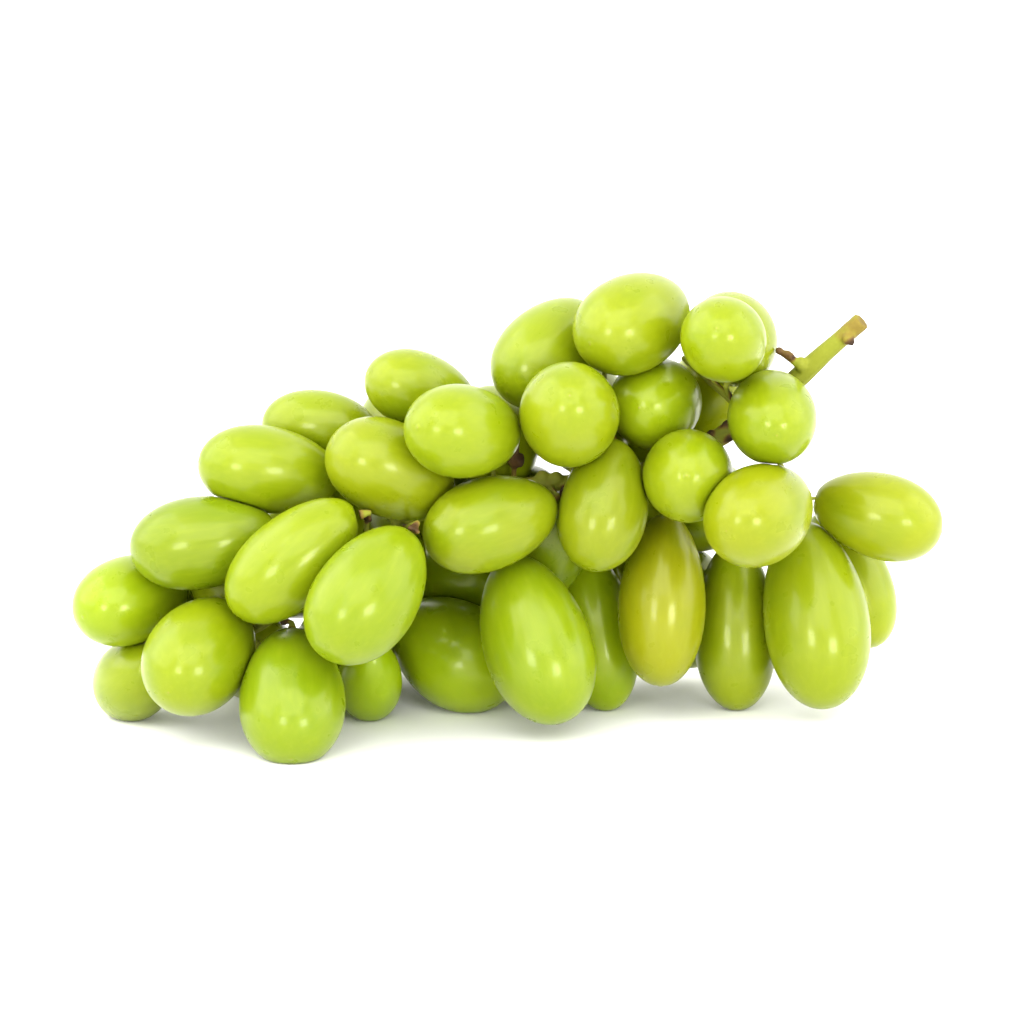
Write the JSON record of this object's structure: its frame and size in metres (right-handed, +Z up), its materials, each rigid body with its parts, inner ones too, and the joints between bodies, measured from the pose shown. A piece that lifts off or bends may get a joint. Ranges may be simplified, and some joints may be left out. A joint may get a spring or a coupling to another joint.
{
  "type": "bunch of grapes",
  "caption": "Bunch of long green seedless table grapes lying on its side, its plump berries pressed together round a branching green stalk with a cut, browned end",
  "frame": {"origin": "Middle of the bounding box, on the table that the bunch lies on", "axes": "+X runs along the bunch from its tail to its cut stalk, +Y goes away from the picture's viewer, +Z is up"},
  "size_m": [0.1672, 0.089, 0.0878],
  "materials": {
    "grape_skin": "Smooth, moist and slightly translucent yellow-green grape skin with a faint bloom",
    "green_wood": "Matt green stalk, browned and corky at its cut end, its joints and the caps of its stalklets"
  },
  "bodies": {
    "root": {"berries": "grape_skin", "stalk": "green_wood"}
  },
  "joints": []
}
